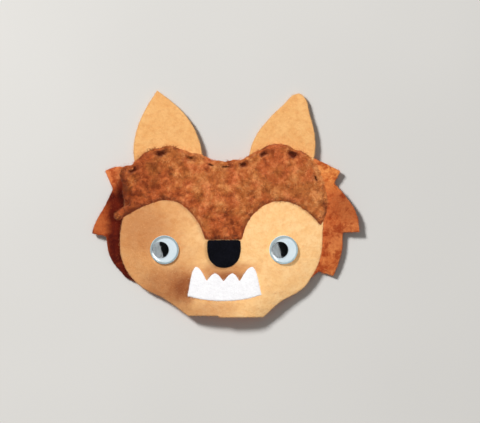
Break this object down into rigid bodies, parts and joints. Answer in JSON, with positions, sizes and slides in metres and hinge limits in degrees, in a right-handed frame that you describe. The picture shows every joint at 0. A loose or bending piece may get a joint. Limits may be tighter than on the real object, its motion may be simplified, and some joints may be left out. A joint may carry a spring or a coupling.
{
  "type": "felt wolf hand puppet head",
  "caption": "Flat felt wolf puppet head: crowned face over a flat back with a finger pocket open at the chin, pointed ears, jagged mane, felt teeth and rolling craft eyes.",
  "frame": {"origin": "on the flat underside of the back, on the face's centreline, level with the tip of the hair's brow curves", "axes": "+X to the right of someone looking at the face, +Y towards the ears, +Z out of the face, away from whatever the back lies on or is glued to"},
  "size_m": [0.1676, 0.1419, 0.0147],
  "materials": {
    "brown_felt": "flat pressed felt, red brown, matt, with short surface fibres",
    "brown_fur_felt": "thick brushed felt, mid brown with lighter and darker tufts",
    "tan_felt": "flat pressed felt, warm tan, matt, with short surface fibres",
    "black_felt": "flat pressed felt, near black, matt",
    "white_felt": "flat pressed felt, clean white, matt",
    "brown_thread": "twisted cotton hand-sewing thread, dark brown",
    "white_plastic": "thin moulded sheet, cool white",
    "black_plastic": "thin disc, gloss black",
    "clear_plastic": "thin clear moulded dome with a slight cool tint"
  },
  "bodies": {
    "head": {"back_of_head": "brown_felt", "ear_left": "tan_felt", "ear_right": "tan_felt", "face": "tan_felt", "hair": "brown_fur_felt", "nose": "black_felt", "teeth": "white_felt", "eye_left_backing": "white_plastic", "eye_left_cover": "clear_plastic", "eye_right_backing": "white_plastic", "eye_right_cover": "clear_plastic", "seam_stitch_01": "brown_thread", "seam_stitch_02": "brown_thread", "seam_stitch_03": "brown_thread", "seam_stitch_04": "brown_thread", "seam_stitch_05": "brown_thread", "seam_stitch_06": "brown_thread", "seam_stitch_07": "brown_thread", "seam_stitch_08": "brown_thread", "seam_stitch_09": "brown_thread"},
    "pupil_left": {"eye_left_pupil": "black_plastic"},
    "pupil_right": {"eye_right_pupil": "black_plastic"}
  },
  "joints": [
    {"name": "pupil_left_roll", "type": "hinge", "parent": "head", "child": "pupil_left", "pos_m": [-0.03736, -0.0288, 0.01141], "axis": [-0.0803, 0.0005, 0.9968], "continuous": true},
    {"name": "pupil_right_roll", "type": "hinge", "parent": "head", "child": "pupil_right", "pos_m": [0.03736, -0.0288, 0.01141], "axis": [0.0803, 0.0005, 0.9968], "continuous": true}
  ]
}
